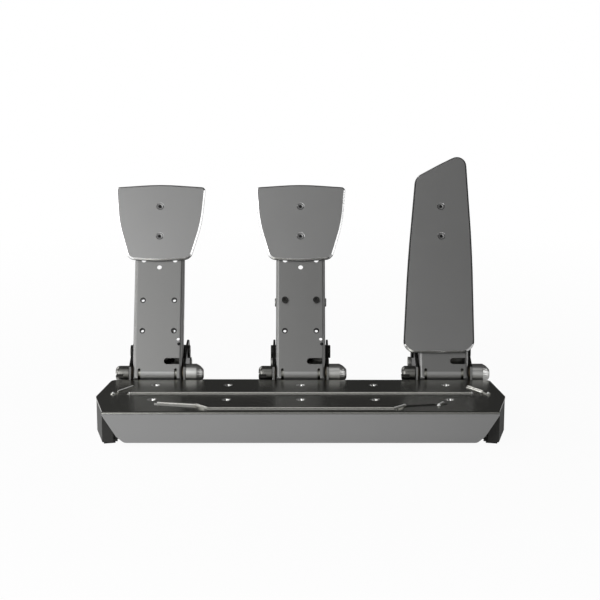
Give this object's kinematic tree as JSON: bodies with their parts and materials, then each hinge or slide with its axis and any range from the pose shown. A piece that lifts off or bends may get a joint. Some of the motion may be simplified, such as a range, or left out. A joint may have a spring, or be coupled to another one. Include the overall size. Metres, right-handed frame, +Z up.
{
  "type": "pedal set",
  "caption": "Floor pedal set for driving games: clutch, brake and throttle arms with foot plates, pivoting in brackets on a folded steel base.",
  "frame": {"origin": "on the floor, in the middle of the set's width and depth", "axes": "+X to the driver's right, towards the throttle; +Y away from the driver; +Z up"},
  "size_m": [0.3756, 0.207, 0.2296],
  "materials": {
    "deck_coat": "smooth black coating with a high gloss",
    "frame_coat": "satin black coating",
    "arm_coat": "satin grey coating on folded steel",
    "plate_coat": "satin grey with bright chamfered edges",
    "cap_metal": "turned, satin",
    "bright_steel": "turned and polished",
    "zinc_steel": "zinc plated",
    "dark_steel": "blackened",
    "spring_steel": "drawn wire, lightly oiled",
    "bronze": "sintered bearing bronze",
    "black_rubber": "matt",
    "red_rubber": "matt polyurethane",
    "case_plastic": "fine moulded texture",
    "board_green": "circuit board",
    "lead_sleeve": "soft cable sleeve"
  },
  "bodies": {
    "root": {"heel_deck": "deck_coat", "left_skirt": "frame_coat", "right_skirt": "frame_coat", "base_tray": "frame_coat", "deck_screws": "bright_steel", "deck_standoffs": "zinc_steel", "skirt_screws": "dark_steel", "skirt_strips": "black_rubber", "rubber_feet": "black_rubber", "clutch_bracket": "frame_coat", "brake_bracket": "frame_coat", "throttle_bracket": "frame_coat", "bracket_bolts": "zinc_steel", "pivot_bushes": "bronze", "stop_bolts": "dark_steel", "stop_rubbers": "black_rubber", "lower_pins": "zinc_steel", "lower_pin_spacers": "zinc_steel", "clutch_sensor_cap": "cap_metal", "brake_sensor_cap": "cap_metal", "throttle_sensor_cap": "cap_metal", "sensor_boards": "board_green", "controller_case": "case_plastic", "controller_lid": "case_plastic", "controller_board": "board_green", "output_socket": "case_plastic", "sensor_leads": "lead_sleeve"},
    "clutch_pedal": {"clutch_arm": "arm_coat", "clutch_plate": "plate_coat", "clutch_plate_screws": "dark_steel", "clutch_axle": "bright_steel", "clutch_magnet": "zinc_steel", "clutch_strut_pin": "zinc_steel"},
    "clutch_strut": {"clutch_strut_body": "dark_steel", "clutch_spring": "spring_steel"},
    "clutch_rod": {"clutch_strut_rod": "bright_steel", "clutch_preload_nut": "bronze"},
    "brake_pedal": {"brake_arm": "arm_coat", "brake_plate": "plate_coat", "brake_plate_screws": "dark_steel", "brake_axle": "bright_steel", "brake_magnet": "zinc_steel", "brake_strut_pin": "zinc_steel", "brake_clevis": "dark_steel", "brake_clevis_bolts": "dark_steel"},
    "brake_strut": {"brake_strut_body": "dark_steel", "brake_elastomer": "red_rubber", "brake_load_cell": "zinc_steel"},
    "brake_rod": {"brake_strut_rod": "bright_steel", "brake_preload_nut": "bronze"},
    "throttle_pedal": {"throttle_arm": "arm_coat", "throttle_plate": "plate_coat", "throttle_plate_screws": "dark_steel", "throttle_axle": "bright_steel", "throttle_magnet": "zinc_steel", "throttle_strut_pin": "zinc_steel"},
    "throttle_strut": {"throttle_strut_body": "dark_steel", "throttle_spring": "spring_steel"},
    "throttle_rod": {"throttle_strut_rod": "bright_steel", "throttle_preload_nut": "bronze"}
  },
  "joints": [
    {"name": "clutch_pivot", "type": "hinge", "parent": "root", "child": "clutch_pedal", "pos_m": [-0.136, 0.0095, 0.036], "axis": [-1, 0, 0], "range_deg": [0, 17], "stiffness_Nm_per_rad": 20, "springref_deg": -5.73},
    {"name": "clutch_strut_swing", "type": "hinge", "parent": "root", "child": "clutch_strut", "pos_m": [-0.136, 0.0805, 0.026], "axis": [-1, 0, 0], "range_deg": [0, 3.3]},
    {"name": "clutch_rod_slide", "type": "slide", "parent": "clutch_strut", "child": "clutch_rod", "axis": [0, 0.6215, -0.7834], "range_m": [0, 0.0152], "deforming": ["clutch_spring"]},
    {"name": "brake_pivot", "type": "hinge", "parent": "root", "child": "brake_pedal", "pos_m": [0, 0.0095, 0.036], "axis": [-1, 0, 0], "range_deg": [0, 8], "stiffness_Nm_per_rad": 220, "springref_deg": -1.72},
    {"name": "brake_strut_swing", "type": "hinge", "parent": "root", "child": "brake_strut", "pos_m": [0, 0.0805, 0.026], "axis": [-1, 0, 0], "range_deg": [0, 4]},
    {"name": "brake_rod_slide", "type": "slide", "parent": "brake_strut", "child": "brake_rod", "axis": [0, 0.4337, -0.901], "range_m": [0, 0.0086], "deforming": ["brake_elastomer"]},
    {"name": "throttle_pivot", "type": "hinge", "parent": "root", "child": "throttle_pedal", "pos_m": [0.136, 0.0095, 0.036], "axis": [-1, 0, 0], "range_deg": [0, 17], "stiffness_Nm_per_rad": 14, "springref_deg": -6.88},
    {"name": "throttle_strut_swing", "type": "hinge", "parent": "root", "child": "throttle_strut", "pos_m": [0.136, 0.0805, 0.026], "axis": [-1, 0, 0], "range_deg": [0, 3.3]},
    {"name": "throttle_rod_slide", "type": "slide", "parent": "throttle_strut", "child": "throttle_rod", "axis": [0, 0.6215, -0.7834], "range_m": [0, 0.0152], "deforming": ["throttle_spring"]}
  ],
  "couplings": [
    {"joint": "clutch_strut_swing", "follows": "clutch_pivot", "ratio": 0.18676},
    {"joint": "clutch_rod_slide", "follows": "clutch_pivot", "m_per_rad": 0.050706},
    {"joint": "brake_strut_swing", "follows": "brake_pivot", "ratio": 0.49219},
    {"joint": "brake_rod_slide", "follows": "brake_pivot", "m_per_rad": 0.060734},
    {"joint": "throttle_strut_swing", "follows": "throttle_pivot", "ratio": 0.18676},
    {"joint": "throttle_rod_slide", "follows": "throttle_pivot", "m_per_rad": 0.050706}
  ]
}
